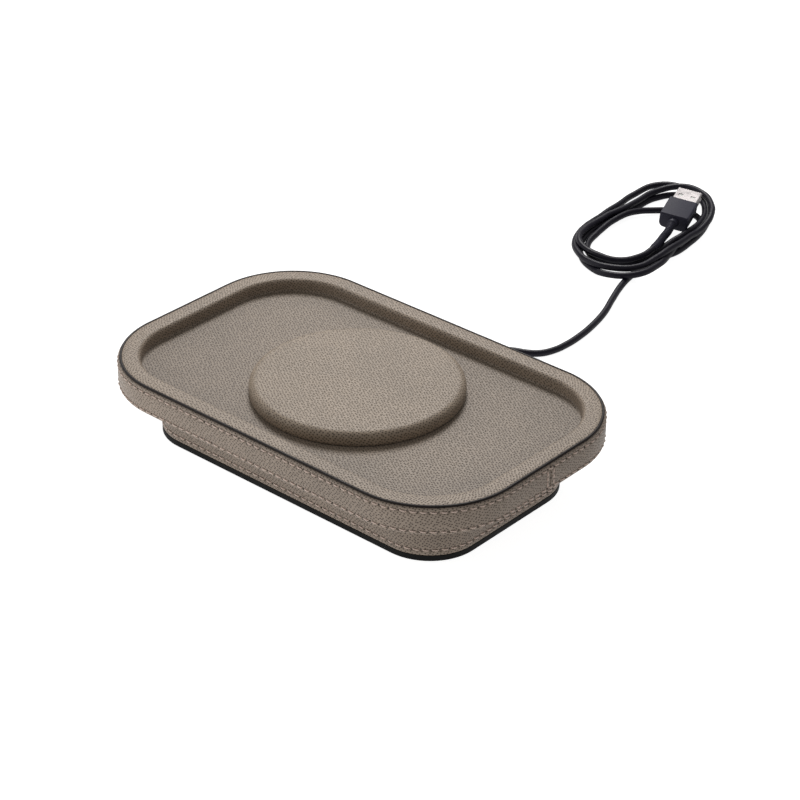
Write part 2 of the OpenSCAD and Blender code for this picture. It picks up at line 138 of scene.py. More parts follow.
class Look:
    """A procedural material, with short calls for the nodes used here."""

    def __init__(self, name, **shader):
        self.mat = bpy.data.materials.new(name)
        self.mat.use_nodes = True
        self.tree = self.mat.node_tree
        self.shader = self.tree.nodes["Principled BSDF"]
        for key, value in shader.items():
            self.set(key.replace("_", " "), value)

    def set(self, key, value):
        self.put(self.shader.inputs[key], value)

    def put(self, socket, value):
        if isinstance(value, bpy.types.NodeSocket):
            self.tree.links.new(value, socket)
        elif socket.type == "RGBA" and len(value) == 3:
            socket.default_value = (*value, 1.0)
        else:
            socket.default_value = value

    def node(self, kind, out=0, options=None, **inputs):
        made = self.tree.nodes.new("ShaderNode" + kind)
        for key, value in (options or {}).items():
            setattr(made, key, value)
        for key, value in inputs.items():
            self.put(made.inputs[key.replace("_", " ")], value)
        return made.outputs[out]

    def uv(self):
        return self.node("UVMap", options={"uv_map": "grain"})

    def place(self):
        return self.node("TexCoord", "Object")

    def mapped(self, vector, scale=(1, 1, 1), turn=0.0):
        return self.node("Mapping", Vector=vector, Rotation=(0, 0, math.radians(turn)), Scale=scale)

    def noise(self, vector, scale, detail=3.0, rough=0.5):
        return self.node(
            "TexNoise", 0, None, Vector=vector, Scale=scale, Detail=detail, Roughness=rough,
        )

    def cells(self, vector, scale, randomness, feature="F1", dimensions="2D"):
        return self.node(
            "TexVoronoi", "Distance", {"feature": feature, "voronoi_dimensions": dimensions},
            Vector=vector, Scale=scale, Randomness=randomness,
        )

    def ramp(self, x, lo, hi, a=0.0, b=1.0):
        return self.node(
            "MapRange", 0, {"interpolation_type": "SMOOTHSTEP"},
            Value=x, From_Min=lo, From_Max=hi, To_Min=a, To_Max=b,
        )

    def calc(self, operation, a, b=0.0):
        made = self.tree.nodes.new("ShaderNodeMath")
        made.operation = operation
        self.put(made.inputs[0], a)
        self.put(made.inputs[1], b)
        return made.outputs[0]

    def vector_calc(self, operation, a, b):
        made = self.node("VectorMath", 0, {"operation": operation})
        self.put(made.node.inputs[0], a)
        self.put(made.node.inputs[1], b)
        return made

    def mix(self, a, b, factor):
        made = self.tree.nodes.new("ShaderNodeMix")
        made.data_type, made.blend_type = "RGBA", "MIX"
        self.put(made.inputs[0], factor)
        self.put(made.inputs[6], a)
        self.put(made.inputs[7], b)
        return made.outputs[2]

    def scaled(self, vector, factor):
        return self.node("VectorMath", 0, {"operation": "SCALE"}, Vector=vector, Scale=factor)

    def warp(self, vector, scale, amount):
        """vector, pushed about by a slow noise."""
        push = self.node("TexNoise", "Color", None, Vector=vector, Scale=scale, Detail=1.0)
        centred = self.vector_calc("SUBTRACT", push, (0.5, 0.5, 0.5))
        return self.vector_calc("ADD", vector, self.scaled(centred, amount))

    def bump(self, height, distance):
        made = self.node("Bump", "Normal", None, Height=height, Distance=distance, Strength=1.0)
        self.set("Normal", made)


def srgb(r, g, b):
    """Linear colour of an 8-bit screen colour."""
    return tuple(
        c / 12.92 if c <= 0.04045 else ((c + 0.055) / 1.055) ** 2.4
        for c in (x / 255 for x in (r, g, b))
    )


def leather(name, ridge, pit, turn=35.0):
    """Pebbled leather. ridge and pit are the screen colours of the grain's high and low parts, and
    turn its direction in degrees. A point attribute adds painted shades and painted highlights."""
    look = Look(name, Specular_IOR_Level=0.42, Sheen_Weight=0.06)
    uv = look.uv()
    bent = look.warp(look.mapped(uv, (1.0, 1.15, 1.0), turn), 9.0, 0.012)
    count = UV_UNIT / GRAIN_PITCH
    dots = look.ramp(look.cells(bent, count, GRAIN_LOOSE), 0.08, 0.42)
    seams = look.ramp(look.cells(bent, count, GRAIN_LOOSE, "DISTANCE_TO_EDGE"), 0.0, 0.22)
    fine = look.noise(uv, 260.0, 2.0)
    broad = look.noise(uv, 2.3, 3.0)
    blotch = look.noise(uv, 11.0, 2.0)
    shade = look.calc(
        "MULTIPLY",
        look.ramp(broad, 0.3, 0.7, 0.93, 1.06), look.ramp(blotch, 0.3, 0.7, 0.955, 1.04),
    )
    painted_shading = look.node("Attribute", "Fac", {"attribute_name": "painted_shading"})
    shade = look.calc("MULTIPLY", shade, look.calc("ADD", painted_shading, 1.0))
    pebbles = look.calc("MULTIPLY", dots, look.ramp(seams, 0, 1, 0.86, 1.0))
    look.set("Base Color", look.scaled(look.mix(srgb(*pit), srgb(*ridge), pebbles), shade))
    look.set("Roughness", look.ramp(dots, 0, 1, *GRAIN_ROUGH))
    high = look.calc("ADD", dots, look.calc("MULTIPLY", fine, 0.22))
    high = look.calc("ADD", high, look.calc("MULTIPLY", seams, 0.25))
    look.bump(high, GRAIN_DEPTH * MM)
    return look.mat


def moulded(name, colour, rough=0.5, metallic=0.0, grain=0.25, depth=0.02, spread=0.08, **shader):
    """Plastic, rubber, metal or board: an even colour with fine grain and slow variation.
    grain is the pitch of the bumps and depth their height, in millimetres. spread is how much the
    brightness varies."""
    look = Look(name, Metallic=metallic, **shader)
    at = look.place()
    fine = look.noise(at, 1000 / grain / 4, 3.0, 0.6)
    slow = look.noise(at, 60.0, 3.0)
    shade = look.ramp(slow, 0.3, 0.7, 1 - spread, 1 + spread)
    look.set("Base Color", look.scaled(srgb(*colour), shade))
    smooth, coarse = max(0.02, rough - 0.07), min(1.0, rough + 0.07)
    look.set("Roughness", look.ramp(look.calc("ADD", fine, slow), 0.7, 1.3, smooth, coarse))
    look.bump(fine, depth * MM)
    return look.mat


def thread_look(name, light, dark):
    """Twisted thread: slanting plies across each stitch."""
    look = Look(name, Specular_IOR_Level=0.3, Sheen_Weight=0.4)
    uv = look.uv()
    plies = look.node(
        "TexWave", "Fac", {"wave_type": "BANDS", "bands_direction": "X"},
        Vector=look.mapped(uv, (1, 1, 1), 38.0), Scale=55.0, Distortion=0.4,
    )
    fibres = look.noise(uv, 400.0, 3.0)
    lit = look.ramp(look.calc("ADD", plies, look.calc("MULTIPLY", fibres, 0.5)), 0.25, 1.0)
    look.set("Base Color", look.mix(srgb(*dark), srgb(*light), lit))
    look.set("Roughness", look.ramp(fibres, 0.3, 0.7, 0.6, 0.8))
    look.bump(plies, 0.06 * MM)
    return look.mat


# ---- Mesh helpers ----


class Ring:
    """A rounded rectangle, by the distance along it from the middle of its +X side."""

    def __init__(self, length, width, radius):
        self.r = radius
        self.x, self.y = length / 2 - radius, width / 2 - radius
        arc = PI * radius / 2
        x, y = self.x, self.y
        self.runs = np.array([y, arc, 2 * x, arc, 2 * y, arc, 2 * x, arc, y])
        self.length = float(self.runs.sum())

    def at(self, s):
        """Centres of curvature and outward directions at distances s."""
        s = np.mod(np.asarray(s, float), self.length)
        ends = np.cumsum(self.runs)
        k = np.minimum(np.searchsorted(ends, s, side="right"), 8)
        t = s - (ends[k] - self.runs[k])
        x, y, turn = (np.zeros_like(s) for _ in range(3))
        line = {
            0: (self.x, 0, 0, 1, 0), 2: (self.x, self.y, -1, 0, 90),
            4: (-self.x, self.y, 0, -1, 180), 6: (-self.x, -self.y, 1, 0, 270),
            8: (self.x, -self.y, 0, 1, 0),
        }
        corner = {
            1: (self.x, self.y, 0), 3: (-self.x, self.y, 90),
            5: (-self.x, -self.y, 180), 7: (self.x, -self.y, 270),
        }
        for i, (x0, y0, dx, dy, a) in line.items():
            m = k == i
            x[m], y[m], turn[m] = x0 + dx * t[m], y0 + dy * t[m], math.radians(a)
        for i, (x0, y0, a) in corner.items():
            m = k == i
            x[m], y[m], turn[m] = x0, y0, math.radians(a) + t[m] / self.r
        return np.stack([x, y], -1), np.stack([np.cos(turn), np.sin(turn)], -1)

    def even(self, count):
        return np.arange(count) * self.length / count


def make_mesh(name, points, faces, mat, uv, painted_shading=None):
    """An object from points in millimetres. uv holds one pair for each corner of each face, and
    tone one number for each point."""
    mesh = bpy.data.meshes.new(name)
    mesh.from_pydata((np.asarray(points, float) * MM).tolist(), [], faces)
    layer = mesh.uv_layers.new(name="grain")
    layer.data.foreach_set("uv", np.asarray(uv, np.float32).ravel())
    shade = mesh.attributes.new("painted_shading", "FLOAT", "POINT")
    if painted_shading is not None:
        shade.data.foreach_set("value", np.asarray(painted_shading, np.float32).ravel())
    mesh.shade_smooth()
    mesh.materials.append(mat)
    made = bpy.data.objects.new(name, mesh)
    bpy.context.scene.collection.objects.link(made)
    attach(made, "root")
    return made


def grid_faces(rows, columns):
    """Quads between rows of points, of which the last joins the first."""
    i, j = np.meshgrid(np.arange(rows), np.arange(columns - 1), indexing="ij")
    n = (i + 1) % rows
    here, ahead = i * columns + j, n * columns + j
    return np.stack([here, ahead, ahead + 1, here + 1], -1).reshape(-1, 4)


def strip(
    name, points, along, across, mat, painted_shading=None, flat_from=None, cap_last=False, cap_first=False,
):
    """A surface from a grid of points, rows x columns x 3. along is the distance of each row, with
    one more for the join, and across that of each column, for the grain. Columns from flat_from on
    take the grain from above. The caps close the first and last columns with one face each."""
    rows, columns = points.shape[:2]
    quads = grid_faces(rows, columns)
    j = quads[:, 0] % columns
    i = quads[:, 0] // columns
    u = np.stack([along[i], along[i + 1], along[i + 1], along[i]], -1)
    v = np.stack([across[j], across[j], across[j + 1], across[j + 1]], -1)
    uv = np.stack([u, v], -1)
    flat = points.reshape(-1, 3)
    if flat_from is not None:
        m = j >= flat_from
        uv[m] = flat[quads[m]][:, :, :2]
    faces, corners = quads.tolist(), [uv.reshape(-1, 2)]
    last, first = np.arange(rows) * columns + columns - 1, np.arange(rows)[::-1] * columns
    for wanted, ring in ((cap_last, last), (cap_first, first)):
        if wanted:
            faces.append(ring.tolist())
            corners.append(flat[ring][:, :2])
    return make_mesh(name, flat, faces, mat, np.concatenate(corners) / UV_UNIT, painted_shading)


def run_lengths(profile):
    """Distance of each point of a profile from its first one."""
    return np.concatenate([[0.0], np.cumsum(np.hypot(*np.diff(profile, axis=0).T))])


def sweep(name, ring, s, profile, mat, bulge=None, painted_shading=None, **more):
    """Sweeps a profile of (distance in, height) round a ring, pushed out by bulge(s, z)."""
    profile = np.asarray(profile, float)
    base, out = ring.at(s)
    z = np.broadcast_to(profile[:, 1], (len(s), len(profile)))
    reach = np.broadcast_to(ring.r - profile[:, 0], z.shape)
    if bulge is not None:
        reach = reach + bulge(np.asarray(s)[:, None], z)
    xy = base[:, None] + out[:, None] * reach[..., None]
    along = np.append(s, s[0] + ring.length)
    shade = None if painted_shading is None else painted_shading(np.asarray(s)[:, None] + 0 * z, z)
    return strip(name, np.dstack([xy, z]), along, run_lengths(profile), mat, shade, **more)


def moved(points, place):
    m = np.array(place)
    return points @ m[:3, :3].T + m[:3, 3]


def lathe(name, profile, count, mat, painted_shading=None, place=None, **more):
    """Turns a profile of (radius, height) about +Z, then moves it by place."""
    profile = np.asarray(profile, float)
    a = np.arange(count) * 2 * PI / count
    r, z = profile.T
    shape = (count, len(z))
    x, y = np.cos(a)[:, None] * r, np.sin(a)[:, None] * r
    points = np.stack([x, y, np.broadcast_to(z, shape)], -1)
    along = np.append(a, 2 * PI) * r.max()
    if place is not None:
        points = moved(points, place)
    shade = None if painted_shading is None else np.broadcast_to(painted_shading(r, z), shape)
    return strip(name, points, along, run_lengths(profile), mat, shade, **more)


def arc(cx, cz, r, a0, a1, count):
    """Points on an arc, from a0 to a1 degrees, as (x, z)."""
    angles = [math.radians(a) for a in np.linspace(a0, a1, count)]
    return [(cx + r * math.cos(a), cz + r * math.sin(a)) for a in angles]


def near(x, at, width):
    """1 at a place, falling to 0 over about a width."""
    return np.exp(-(((x - at) / width) ** 2))


# ---- Looks of the parts ----

RIM_LEATHER = leather("rim_leather", (160, 143, 125), (58, 48, 38))
SIDE_LEATHER = leather("side_leather", (160, 144, 129), (70, 59, 49), turn=28.0)
# Painted shade: the side band's leather made about 7 percent darker, for the plinth in shade under
# the tray.
PLINTH_LEATHER_SHADED = leather("plinth_leather_shaded", (151, 135, 120), (64, 54, 45), turn=31.0)
PUCK_LEATHER = leather("puck_leather", (161, 144, 125), (66, 55, 43))
THREAD = thread_look("sewing_thread", (234, 211, 197), (178, 155, 141))
EDGE = moulded("edge_paint", (33, 26, 24), 0.5, grain=0.6, depth=0.03, Specular_IOR_Level=0.18)
CORD = moulded("cord_jacket", (24, 22, 33), 0.42, grain=0.3, depth=0.012, Specular_IOR_Level=0.2)
PLUG = moulded("plug_moulding", (47, 46, 59), 0.5, grain=0.25, depth=0.015, Specular_IOR_Level=0.2)


# ---- Lead and plug ----

ROUTE = [
    (0, 57, 7.5), (-0.2, 62, 7.2), (-1.5, 68, 5.6), (-4, 74, 3.4), (-7.5, 80, 1.9),
    (-11, 86, 1.55), (-13.5, 92, 1.55), (-13.5, 98, 1.55), (-10.5, 103.5, 1.55),
    (-5.5, 107.3, 1.55), (-0.5, 109.5, 1.55), (4, 113, 1.55), (6.8, 119, 1.55),
    (7.8, 127, 1.55), (7.4, 137, 1.55), (5.5, 149, 1.55), (2, 162, 1.55), (-3, 174.5, 1.55),
    (-7.5, 186.5, 1.55), (-10, 195.5, 1.55),
]
# The loose coil: distance from its middle, and height, at every step of its turning angle
COIL_AT, COIL_START, COIL_STEP = (-31.0, 238.0), -60.0, 15.0
COIL_LIFT = 0.25  # keeps the smooth curve from dipping below the surface
SLEEVE_LENGTH, SLEEVE_PITCH = 24.0, 1.1
COIL_R = [
    40.0, 28.5, 24.0, 22.5, 21.5, 21.5, 23.0, 26.0, 31.0, 39.0, 47.5, 48.5, 40.5, 29.5, 24.0,
    22.0, 21.5, 22.5, 25.0, 28.5, 33.5, 39.0, 44.5, 49.5, 48.5, 37.0, 26.5, 21.5, 19.0, 19.0,
    20.0, 22.5, 27.5, 32.0, 32.0, 29.0, 25.5, 23.0, 21.0, 19.5, 19.0, 19.5, 21.0, 24.0, 29.5,
    34.5, 37.0, 35.5, 30.5, 22.5, 18.5, 16.5, 16.0, 17.0, 19.0, 23.0, 28.5, 36.0, 44.5, 51.0,
    53.0, 43.0, 33.5, 29.5, 27.5, 27.5, 29.0, 32.0, 36.5, 41.0, 45.0, 46.5, 43.0, 33.0, 26.5,
    23.5, 22.0, 22.0, 24.0, 28.0, 33.5, 39.5, 45.0, 47.0, 41.5, 30.0, 24.5, 22.5, 22.5, 23.0,
    25.5, 29.5, 34.5, 37.5, 38.0, 36.5, 30.5, 22.0, 16.0, 13.0, 12.0, 11.5,
]
COIL_Z = [
    1.4, 1.4, 1.4, 1.4, 1.4, 1.4, 1.4, 1.4, 1.4, 1.4, 1.4, 1.4, 1.4, 1.4, 1.4,
    1.4, 1.4, 1.4, 1.4, 1.4, 1.4, 1.4, 1.4, 2.8, 4.2, 4.0, 3.6, 3.8, 2.8, 2.0,
    1.6, 1.4, 1.4, 1.6, 1.4, 1.4, 1.8, 2.4, 2.8, 2.8, 2.6, 2.4, 2.0, 1.8, 1.4,
    1.4, 1.6, 1.4, 1.8, 2.2, 2.6, 3.0, 3.4, 3.8, 4.2, 4.4, 4.2, 3.8, 3.8, 4.0,
    2.8, 1.4, 1.4, 1.4, 1.4, 1.8, 2.4, 2.8, 2.8, 3.6, 4.2, 5.0, 5.2, 5.8, 6.2,
    6.0, 5.6, 5.4, 5.0, 5.6, 6.6, 7.0, 7.2, 6.6, 4.6, 4.2, 4.2, 4.2, 4.2, 4.2,
    4.2, 4.6, 5.0, 4.8, 4.6, 4.0, 4.4, 5.0, 5.2, 5.6, 6.2, 6.8,
]


def plug_place():
    """The plug's own frame: rear face at x = 0, nose along +X."""
    turn, pitch, roll = (math.radians(x) for x in (PLUG_TURN, -PLUG_PITCH, PLUG_ROLL))
    return (
        Matrix.Translation(PLUG_AT)
        @ Matrix.Rotation(turn, 4, "Z")
        @ Matrix.Rotation(pitch, 4, "Y")
        @ Matrix.Rotation(roll, 4, "X")
    )


def make_cord():
    """The cord as one smooth curve, and its length along the knots in metres."""
    points = [Vector(p) for p in ROUTE]
    for k, (r, z) in enumerate(zip(COIL_R, COIL_Z)):
        a = math.radians(COIL_START + COIL_STEP * k)
        x, y = COIL_AT[0] + r * math.cos(a), COIL_AT[1] + r * math.sin(a)
        points.append(Vector((x, y, z + COIL_LIFT)))
    points.append(plug_place() @ Vector((-2.2, 0, 0)))
    data = bpy.data.curves.new("cord", "CURVE")
    data.dimensions = "3D"
    data.resolution_u = 6
    data.bevel_depth = CORD_D / 2 * MM
    data.bevel_resolution = 4
    data.use_fill_caps = True
    spline = data.splines.new("BEZIER")
    spline.bezier_points.add(len(points) - 1)
    for knot, p in zip(spline.bezier_points, points):
        knot.co = p * MM
        knot.handle_left_type = knot.handle_right_type = "AUTO"
    data.materials.append(CORD)
    made = bpy.data.objects.new("cord", data)
    bpy.context.scene.collection.objects.link(made)
    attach(made, "root")
    length = sum((b - a).length for a, b in zip(points, points[1:]))
    return made, length * MM


cord, cord_length = make_cord()


def section(width, height, low_r, top_r, count=6):
    """Closed section of the plug's body as (y, z), anticlockwise seen from the nose."""
    w, h = width / 2, height / 2
    return np.array(
        arc(w - low_r, -h + low_r, low_r, -90, 0, count)
        + arc(w - top_r, h - top_r, top_r, 0, 90, count)
        + arc(-w + top_r, h - top_r, top_r, 90, 180, count)
        + arc(-w + low_r, -h + low_r, low_r, 180, 270, count)
    )


def make_plug_body():
    length, width, height = PLUG_SIZE
    shape = section(width, height, 2.6, 0.9)
    # Rounded ends, as (distance from the end, how far the section is drawn in)
    steps = [(0.0, 0.75), (0.08, 0.42), (0.3, 0.14), (0.7, 0.0), (1.2, 0.0)]
    nose = [(1.2, 0.0), (0.5, 0.0), (0.2, 0.1), (0.06, 0.3), (0.0, 0.55)]
    steps += [(length - x, inset) for x, inset in nose]
    columns = []
    for x, inset in steps:
        y = shape[:, 0] * (1 - 2 * inset / width)
        z = shape[:, 1] * (1 - 2 * inset / height)
        columns.append(np.stack([np.full(len(shape), x), y, z], -1))
    points = moved(np.stack(columns, 1), plug_place())
    along = run_lengths(np.vstack([shape, shape[:1]]))
    across = np.array([x for x, _ in steps])
    return strip("plug_body_moulding", points, along, across, PLUG, cap_last=True, cap_first=True)


plug_body = make_plug_body()
# Places for a lathe: its +Z points back along the lead here, and to +Y, the rear, in TO_REAR
TO_PLUG = plug_place() @ Matrix.Rotation(-PI / 2, 4, "Y")
TO_REAR = Matrix.Translation((0, 0, EXIT[2])) @ Matrix.Rotation(-PI / 2, 4, "X")
plug_collar = lathe(
    "plug_collar_moulding",
    [
        (2.75, -0.3), (2.75, 0.15), (2.6, 0.4), (2.45, 0.6), (2.4, 1.9), (2.3, 2.3), (2.05, 2.5),
        (1.5, 2.52),
    ],
    32, PLUG, place=TO_PLUG, cap_first=True,
)


def gland_profile():
    """The gland as (radius, distance behind the middle): flange, collar, five ribs and tip."""
    profile = [
        (1.5, 36.6), (4.0, 36.6), (4.2, 36.8), (4.2, 38.4), (4.0, 38.6), (3.0, 38.6), (3.0, 44.98),
        (4.3, 44.98), (4.55, 45.1), (4.6, 45.35), (4.6, 46.0), (4.45, 46.3), (4.15, 46.4),
        (3.25, 46.45), (3.05, 46.6),
    ]
    top = 47.4
    for _ in range(5):
        r = 3.0 - (top - 46.4) / 10.6
        profile += [(r, top), (r - 0.35, top + 0.2), (r - 0.35, top + 0.7), (r - 0.05, top + 0.9)]
        top += 1.75
    return profile + [(2.05, 56.4), (1.95, 56.85), (1.75, 57.0), (1.5, 57.02)]


def make_sleeve():
    """The ribbed sleeve on the last of the cord, from the plug's collar back along the curve."""
    length, pitch, sides = SLEEVE_LENGTH, SLEEVE_PITCH, 20
    knots = list(cord.data.splines[0].bezier_points)[-9:]
    line = []
    for a, b in zip(knots, knots[1:]):
        line += geometry.interpolate_bezier(a.co, a.handle_right, b.handle_left, b.co, 24)[:-1]
    line = np.array([*line, knots[-1].co])[::-1] / MM
    gone = np.concatenate([[0.0], np.cumsum(np.linalg.norm(np.diff(line, axis=0), axis=1))])
    d = np.arange(0.1, length, pitch / 8)
    centre = np.stack([np.interp(d, gone, line[:, i]) for i in range(3)], -1)
    ahead = np.gradient(centre, axis=0)
    ahead /= np.linalg.norm(ahead, axis=1)[:, None]
    side = np.cross(ahead, (0, 0, 1))
    side /= np.linalg.norm(side, axis=1)[:, None]
    up = np.cross(ahead, side)
    rib = 0.5 - 0.5 * np.cos(2 * PI * d / pitch)
    taper = np.clip((length - d) / 1.6, 0, 1) ** 0.5
    r = 1.5 + (0.14 + 0.36 * rib) * taper
    turn = np.arange(sides + 1) * PI / (sides / 2)
    a = turn[:-1, None, None]
    points = centre + (np.cos(a) * side + np.sin(a) * up) * r[:, None]
    return strip("cord_sleeve_ribs", points, turn * 1.9, d, PLUG)


sleeve = make_sleeve()
gland = lathe("cord_gland_boot", gland_profile(), 40, CORD, place=TO_REAR)
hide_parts("cord_run", "cord_coil", "cord_tail")
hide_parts("plug_body")
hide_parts("plug_collar")
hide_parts("cord_gland")


# ---- Tray ----

tray = Ring(*TRAY)
plinth = Ring(*PLINTH)
PITCH = tray.length / TRAY_STITCHES
PLINTH_PITCH = plinth.length / PLINTH_STITCHES
GLAND_S = plinth.runs[:2].sum() + plinth.x  # the gland's place along the plinth


def wrapped(s, length):
    """Signed distance from the middle of the +X side."""
    return (s + length / 2) % length - length / 2


def from_hole(s, pitch):
    """Distance to the nearest needle hole."""
    return (s + pitch / 2) % pitch - pitch / 2


def sewn(s, z, row, pitch):
    """How far a row of stitching pulls the leather in: a groove, and a dip at each hole."""
    hole = near(from_hole(s, pitch), 0, 0.42)
    return 0.22 * near(z, row, 0.55) + hole * (0.16 * near(z, row, 0.9) + 0.3 * near(z, row, 0.4))


def tray_bulge(s, z):
    """How far the side band stands out: padding, less its rows of stitching and its seam."""
    seam = wrapped(s, tray.length) - SEAM_AT
    out = 0.12 * np.clip((z - ROW_LOW) * (ROW_TOP - z) / 17.6, -0.2, 1)
    out = out - sewn(s, z, ROW_TOP, PITCH) - sewn(s, z, ROW_LOW, PITCH)
    edge = np.clip((z - BAND_Z) / 0.8, 0, 1)
    out = out - edge * (0.55 * near(seam, 0, 0.32) - 0.12 * near(np.abs(seam), 1.0, 0.7))
    for y in (-SEAM_ROW, SEAM_ROW):
        out = out - 0.16 * near(seam, y, 0.45) * edge
    return out


# Painted shade along a row of stitching and at each needle hole.
def stitch_painted_shade(s, z, row, pitch):
    hole = near(from_hole(s, pitch), 0, 0.45)
    return GROOVE_SHADE * near(z, row, 0.5) + HOLE_SHADE * hole * near(z, row, 0.42)


# Painted shade of the side band's stitching and seam, and a painted highlight along its foot.
def tray_painted_shading(s, z):
    seam = wrapped(s, tray.length) - SEAM_AT
    shade = stitch_painted_shade(s, z, ROW_TOP, PITCH) + stitch_painted_shade(s, z, ROW_LOW, PITCH)
    shade = shade + SEAM_SHADE * near(seam, 0, 0.3)
    shade = shade + BAND_FOOT_HIGHLIGHT * near(z, BAND_Z + 0.35, 0.4)
    return np.clip(shade, *SHADE_LIMITS)


def levels(low, high, rows, coarse=0.55):
    """Heights from low to high, closer together about the rows of stitching."""
    made, z = [low], low
    while z < high:
        z += 0.16 if min(abs(z - r) for r in rows) < 0.9 else coarse
        made.append(min(z, high))
    return made


def make_side_band():
    at_seam = np.mod(SEAM_AT + np.linspace(-2.4, 2.4, 33), tray.length)
    evenly = tray.even(TRAY_STITCHES * PER_STITCH)
    fine = np.unique(np.round(np.concatenate([evenly, at_seam]), 4))
    profile = [(3.4, 0.1), (3.2, -0.08), (0.3, -0.12), (-0.3, -0.06), (-0.64, 0.12), (-0.82, 0.42)]
    profile = [(x, BAND_Z + z) for x, z in profile]
    profile += [(-BAND_OUT, z) for z in levels(BAND_Z + 0.7, RIM_Z - 1.4, (ROW_TOP, ROW_LOW))]
    profile += [(-0.84, 33.8), (-0.7, 34.03), (-0.46, 34.22), (-0.18, 34.32), (0.1, 34.34)]
    band = sweep("tray_side_band", tray, fine, profile, SIDE_LEATHER, tray_bulge, tray_painted_shading)
    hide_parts("side_band")


def make_bead():
    """The painted edge, whose width wavers a little as paint laid on by hand does."""
    rng = random.Random(7)
    waves = [(k, rng.uniform(0, 2 * PI), rng.uniform(0.3, 1)) for k in (5, 9, 14, 23, 37, 52)]

    def uneven(s, z):
        total = sum(a * np.sin(2 * PI * k * s / tray.length + p) for k, p, a in waves)
        return 0.018 * total + 0 * z

    profile = [
        (0.12, 34.26), (-0.07, 34.32), (-0.15, 34.44), (-0.17, 34.62), (-0.15, 34.82),
        (-0.06, 34.99), (0.1, 35.1), (0.34, 35.15), (0.6, 35.14), (0.78, 35.08), (0.9, 34.98),
        (0.94, 34.82),
    ]
    bead = sweep("edge_bead_paint", tray, tray.even(AROUND), profile, EDGE, uneven)
    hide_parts("edge_bead")


def make_lining():
    """Top of the rim, its rounded inner edge, the well's wall, a small cove and the floor."""
    inner = RIM_W - RIM_R
    profile = [(0.76, 34.7), (0.86, 34.9), (1.15, 35.0), (2.2, 35.05), (4.2, 35.07)]
    profile += [(inner - 0.2, 35.01)]
    profile += arc(inner, RIM_Z - RIM_R, RIM_R, 88, 0, 9)
    profile += [(RIM_W + 0.02, 31.9), (RIM_W + 0.04, 30.9)]
    profile += [(RIM_W + 0.6 + x, FLOOR_Z + 0.6 + z) for x, z in arc(0, 0, 0.58, 180, 270, 6)]
    wall_end = len(profile) - 1
    # Painted shade at the foot of the well's wall and over the well floor, most of it near the
    # wall.
    lining_painted_shading = [WALL_FOOT_SHADE * near(z, FLOOR_Z + 0.12, 0.4) for _, z in profile]
    profile += [(RIM_W + d, FLOOR_Z) for d in FLOOR_STEPS]
    lining_painted_shading += [FLOOR_SHADE + FLOOR_EDGE_SHADE * near(d, 0, 15) for d in FLOOR_STEPS]
    lining = sweep(
        "tray_rim_lining", tray, tray.even(AROUND), profile, RIM_LEATHER,
        painted_shading=lambda s, z: np.array(lining_painted_shading) + 0 * z, flat_from=wall_end, cap_last=True,
    )
    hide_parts("well_lining")


make_side_band()
make_bead()
make_lining()


def make_plinth():
    fine = plinth.even(PLINTH_STITCHES * PER_STITCH)
    foot = [(1.3, -0.05), (0.6, -0.04), (0.2, 0.12), (0.04, 0.45)]
    profile = [(x, PLATE_Z + z) for x, z in foot]
    profile += [(0, z) for z in levels(PLATE_Z + 0.8, BAND_Z + 0.2, (ROW_PLINTH,), coarse=0.9)]

    def bulge(s, z):
        at_gland = near(wrapped(s - GLAND_S, plinth.length), 0, 4.6)
        padding = 0.1 * np.sin(np.clip((z - ROW_PLINTH) / 17, 0, 1) * PI)
        return padding - sewn(s, z, ROW_PLINTH, PLINTH_PITCH) * (1 - at_gland)

    band = sweep(
        "plinth_side_band", plinth, fine, profile, PLINTH_LEATHER_SHADED, bulge,
        lambda s, z: np.clip(stitch_painted_shade(s, z, ROW_PLINTH, PLINTH_PITCH), *SHADE_LIMITS),
    )
    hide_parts("plinth_band")


make_plinth()


# ---- Stitching ----


def stitch(centre, along, out, side, length, radius, depth, rng):
    """Points of one stitch: a short bowed thread that dives into a hole at each end."""
    slant = rng.uniform(0.06, 0.16)
    length = length * rng.uniform(0.95, 1.04)
    lift = rng.uniform(-0.03, 0.03)
    points = []
    for i in range(STITCH_RINGS):
        t = i / (STITCH_RINGS - 1)
        rise = math.sin(PI * t) ** 0.55
        middle = centre + along * ((t - 0.5) * length) + side * ((0.5 - t) * 2 * slant)
        middle = middle + out * (lift - depth + (depth + 0.06) * rise)
        r = radius * (0.62 + 0.38 * math.sin(PI * t) ** 0.6)
        for k in range(STITCH_SIDES):
            a = 2 * PI * k / STITCH_SIDES
            points.append(middle + (side * math.cos(a) * 1.06 + out * math.sin(a) * 0.9) * r)
    return points


def stitch_row(name, node, places, seed, length=2.7, radius=0.32, depth=0.36):
    """One mesh of stitches. places gives each one's centre, direction along and direction out."""
    rng = random.Random(seed)
    points, faces, uv = [], [], []
    last, sides = STITCH_RINGS - 1, STITCH_SIDES
    for centre, along, out in places:
        start = len(points)
        points += stitch(centre, along, out, out.cross(along), length, radius, depth, rng)
        shift = rng.uniform(0, 5)
        for i in range(last):
            here, ahead = start + i * sides, start + (i + 1) * sides
            for k in range(sides):
                n = (k + 1) % sides
                faces.append([here + k, here + n, ahead + n, ahead + k])
                u0, u1 = i / last * length, (i + 1) / last * length
                v0, v1 = k / sides * 2.3, (k + 1) / sides * 2.3
                uv += [(u0 + shift, v0), (u0 + shift, v1), (u1 + shift, v1), (u1 + shift, v0)]
        faces.append([start + k for k in reversed(range(sides))])
        faces.append([start + last * sides + k for k in range(sides)])
        uv += [(shift, 0)] * (2 * sides)
    made = make_mesh(name, points, faces, THREAD, np.array(uv) / UV_UNIT)
    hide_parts(node)


